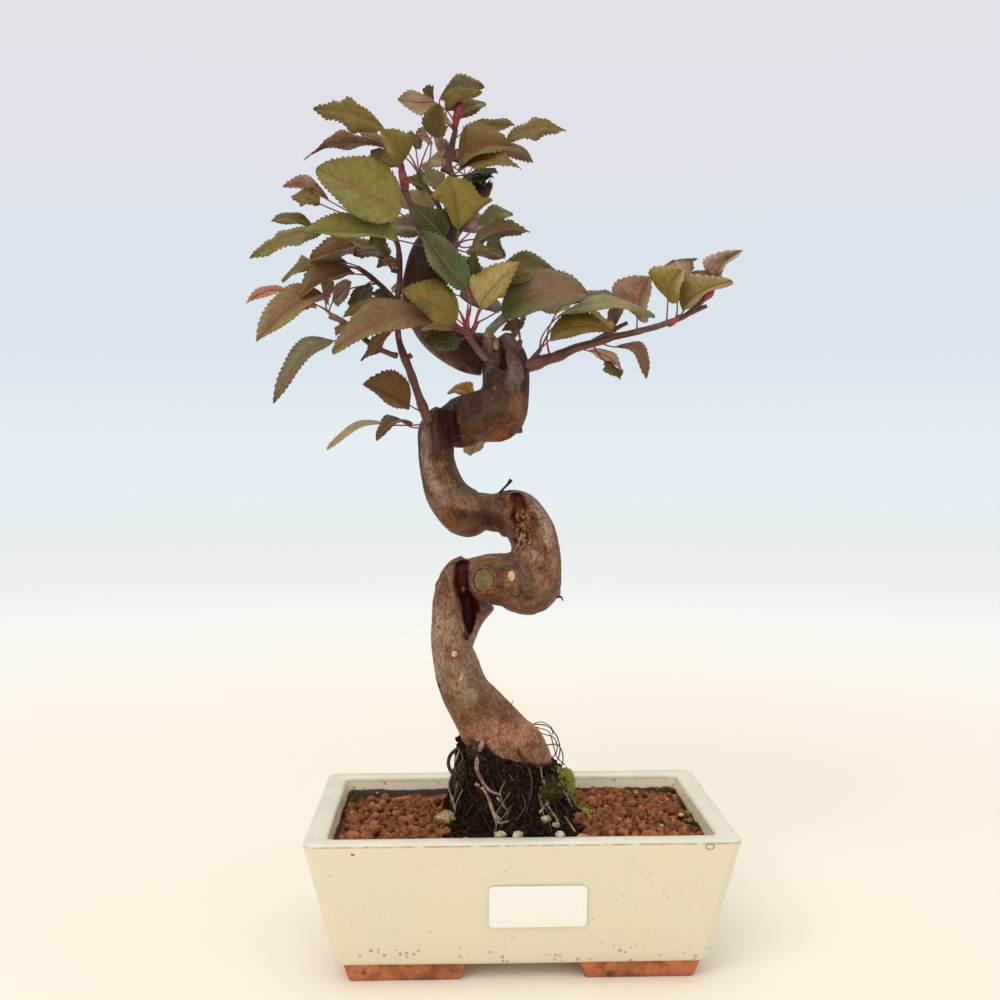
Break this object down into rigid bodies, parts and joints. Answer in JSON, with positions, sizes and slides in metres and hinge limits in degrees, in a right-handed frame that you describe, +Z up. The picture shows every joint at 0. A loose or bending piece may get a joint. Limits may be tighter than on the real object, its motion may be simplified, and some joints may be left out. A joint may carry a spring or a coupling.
{
  "type": "apple bonsai",
  "caption": "Small apple tree with a coiled bare trunk, olive and purple toothed leaves and a side branch, growing from a dark root mound in a cream glazed rectangular pot on clay feet.",
  "frame": {"origin": "middle of the whole plant's footprint, on the surface that the pot's feet stand on", "axes": "+Z up; X along the pot's long side; the front of the tree and the label face -Y"},
  "size_m": [0.2688, 0.1598, 0.4764],
  "materials": {
    "glazed_stoneware": "gloss",
    "label_paper": "satin",
    "drain_plastic": "matte",
    "tie_wire": "satin",
    "red_granules": "matte",
    "dark_earth": "matte",
    "moss": "matte",
    "pebble": "matte",
    "bark": "satin",
    "leaf": "satin"
  },
  "bodies": {
    "root": {"pot": "glazed_stoneware", "label_blank": "label_paper", "drain_mesh_left": "drain_plastic", "drain_mesh_right": "drain_plastic", "drain_wire_left": "tie_wire", "drain_wire_right": "tie_wire", "soil": "red_granules", "root_mound": "dark_earth", "moss_bright": "moss", "moss_dark": "moss", "pebble_1": "pebble", "pebble_2": "pebble", "pebble_3": "pebble", "pebble_4": "pebble", "pebble_5": "pebble", "pebble_6": "pebble", "pebble_7": "pebble", "pebble_8": "pebble", "trunk": "bark", "shoot_apex": "leaf", "shoot_spur": "leaf", "shoot_topLeft": "leaf", "shoot_left": "leaf", "shoot_fork": "leaf", "shoot_heart": "leaf", "shoot_cluster": "leaf", "shoot_rightSpur": "leaf", "shoot_right": "leaf", "shoot_rearLow": "leaf", "shoot_rearMid": "leaf", "shoot_rearTop": "leaf", "shoot_rearRight": "leaf", "shoot_rearShoot": "leaf"}
  },
  "joints": []
}
